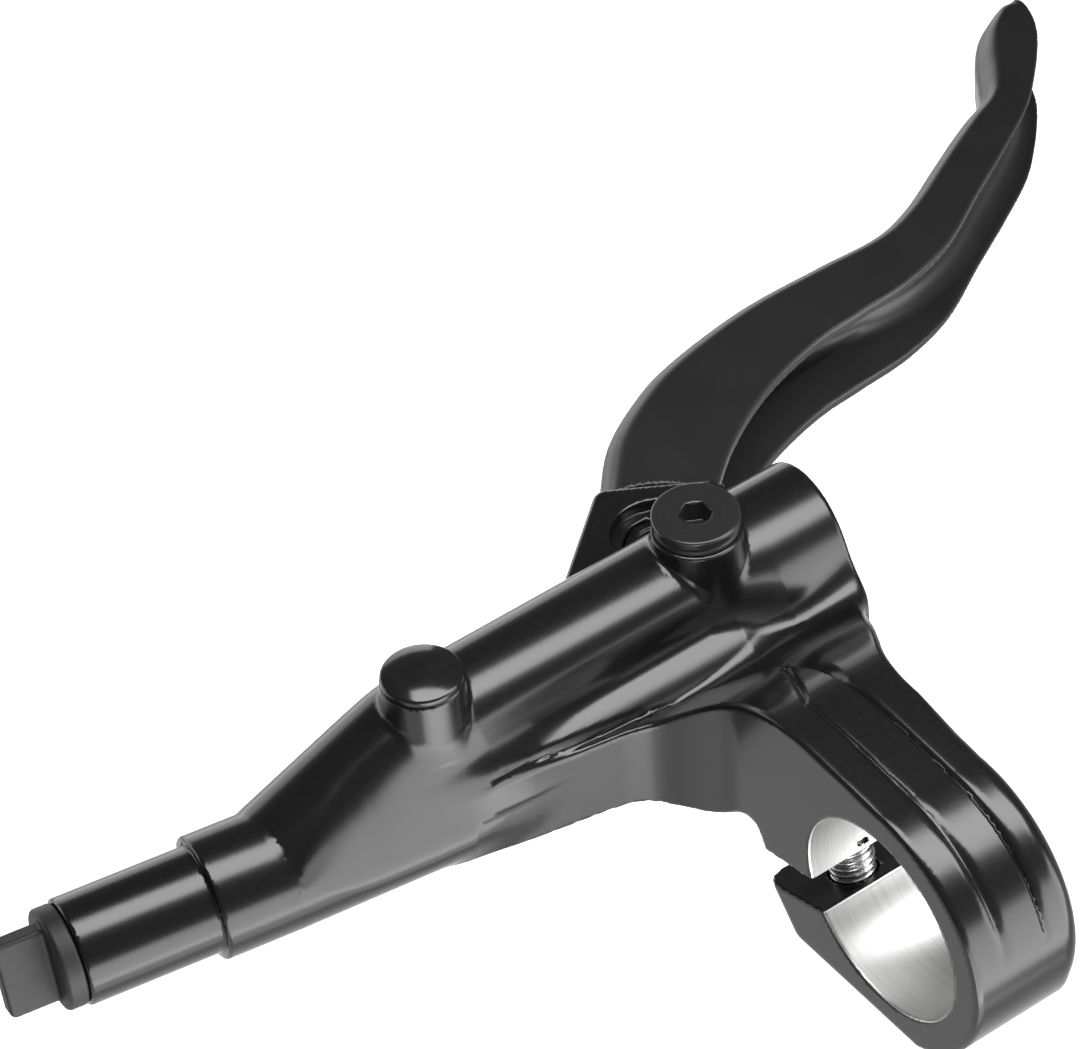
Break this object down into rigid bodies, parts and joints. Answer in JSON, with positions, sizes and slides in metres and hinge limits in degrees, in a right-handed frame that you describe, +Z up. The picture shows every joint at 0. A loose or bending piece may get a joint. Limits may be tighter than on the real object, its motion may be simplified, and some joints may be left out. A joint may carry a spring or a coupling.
{
  "type": "bicycle brake lever",
  "caption": "Hydraulic brake lever for a flat handlebar: clamp body with reservoir, master cylinder and hose port, and a hinged finger blade that pushes the piston.",
  "frame": {"origin": "middle of the clamp bore, halfway across the clamp", "axes": "+X along the bar towards its outer end, +Y forward, +Z up"},
  "size_m": [0.1705, 0.1126, 0.0358],
  "materials": {
    "black_body": "semi-gloss black",
    "satin_blade": "satin black",
    "dark_steel": "blackened",
    "spring_steel": "drawn",
    "bright_steel": "zinc plated",
    "bronze": "sintered",
    "turned_aluminium": "turned",
    "seal_rubber": "moulded",
    "black_plug": "anodised",
    "black_screw": "satin",
    "gloss_cap": "polished",
    "grey_plastic": "moulded"
  },
  "bodies": {
    "body": {"lever_body": "black_body", "pivot_pin": "dark_steel", "pivot_clip": "spring_steel", "return_spring": "spring_steel", "piston_circlip": "spring_steel", "reservoir_bladder": "seal_rubber", "reservoir_plug": "black_plug", "reservoir_plug_seal": "seal_rubber", "bleed_screw": "black_screw", "bleed_seal": "seal_rubber", "port_cap": "gloss_cap", "clamp_bolt": "bright_steel", "clamp_washer": "bright_steel", "hose_plug": "grey_plastic"},
    "blade": {"lever_blade": "satin_blade", "pivot_bush_upper": "bronze", "pivot_bush_lower": "bronze", "reach_screw": "dark_steel"},
    "piston": {"master_piston": "turned_aluminium", "primary_cup": "seal_rubber", "secondary_cup": "seal_rubber", "push_rod": "bright_steel"}
  },
  "joints": [
    {"name": "blade_pull", "type": "hinge", "parent": "body", "child": "blade", "pos_m": [0.0043, 0.0493, 0.0011], "axis": [0, 0, -1], "range_deg": [0, 20], "stiffness_Nm_per_rad": 0.8, "springref_deg": -5.73},
    {"name": "piston_stroke", "type": "slide", "parent": "body", "child": "piston", "axis": [-1, 0, 0], "range_m": [0, 0.0036], "deforming": ["return_spring"]}
  ],
  "couplings": [
    {"joint": "piston_stroke", "follows": "blade_pull", "m_per_rad": 0.01}
  ]
}
